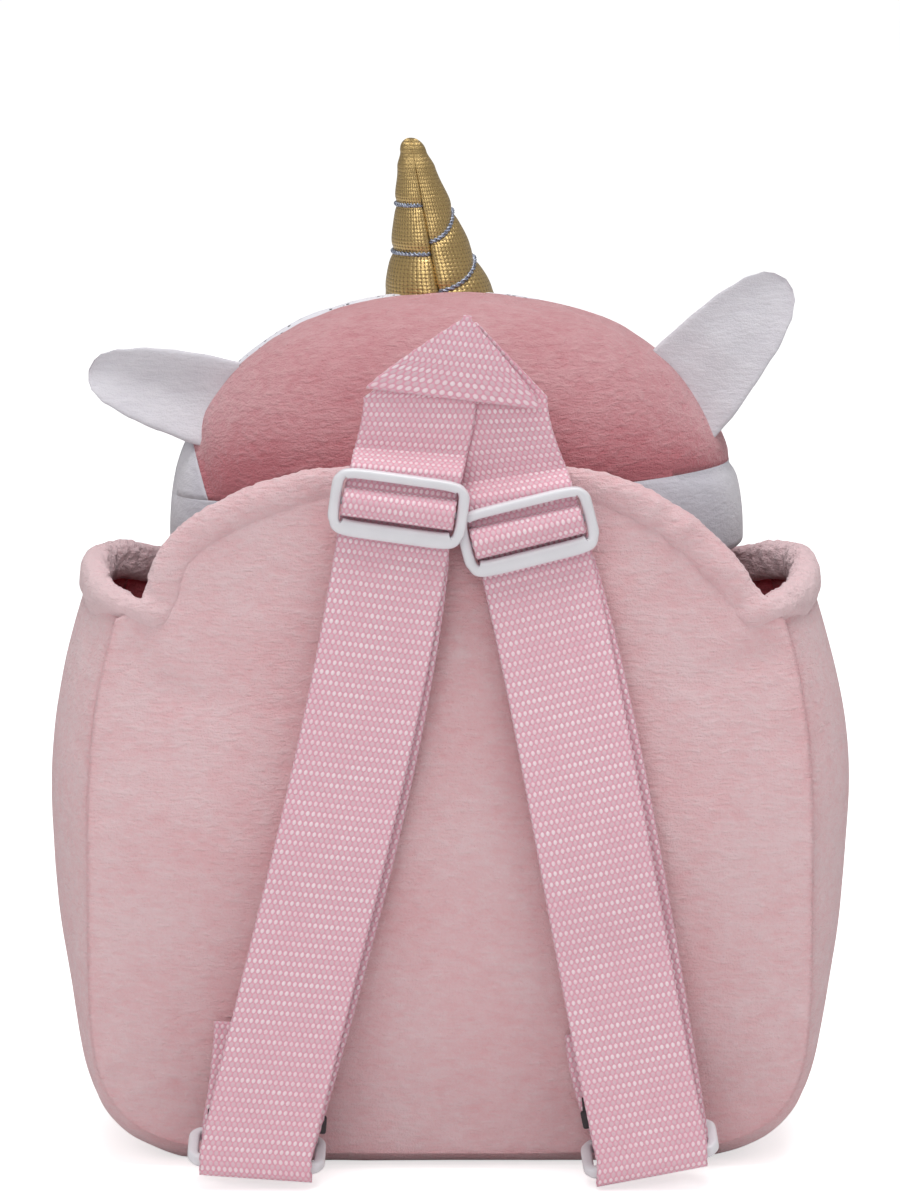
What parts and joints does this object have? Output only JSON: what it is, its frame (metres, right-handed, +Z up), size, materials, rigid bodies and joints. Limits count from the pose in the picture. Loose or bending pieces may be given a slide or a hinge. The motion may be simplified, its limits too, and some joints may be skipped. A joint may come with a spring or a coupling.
{
  "type": "kids animal backpack",
  "caption": "Small plush backpack with an open pouch, a hooded unicorn head with horn and ears, and crossed webbing straps that end in a hanging loop.",
  "frame": {"origin": "on the ground under the middle of the bag", "axes": "+Z up, -Y towards the straps, +Y towards the face"},
  "size_m": [0.2196, 0.1295, 0.272],
  "materials": {
    "pouch_plush": "short pile plush",
    "hood_plush": "short pile plush",
    "white_plush": "short pile plush",
    "glitter_cloth": "white cloth with fine glitter",
    "gold_cloth": "metallic cloth",
    "webbing": "woven polyester webbing",
    "white_plastic": "glossy",
    "black_plastic": "matt"
  },
  "bodies": {
    "root": {"back_panel": "pouch_plush", "front_panel": "pouch_plush", "gusset": "pouch_plush", "mouth_hem": "pouch_plush", "head_back": "hood_plush", "head_front": "white_plush", "crown_panel": "glitter_cloth", "ear_left": "white_plush", "ear_right": "white_plush", "horn": "gold_cloth", "strap_left": "webbing", "slider_left": "white_plastic", "ring_left": "white_plastic", "anchor_tab_left": "webbing", "keeper_left": "black_plastic", "strap_right": "webbing", "slider_right": "white_plastic", "ring_right": "white_plastic", "anchor_tab_right": "webbing", "keeper_right": "black_plastic", "hang_loop": "webbing"}
  },
  "joints": []
}
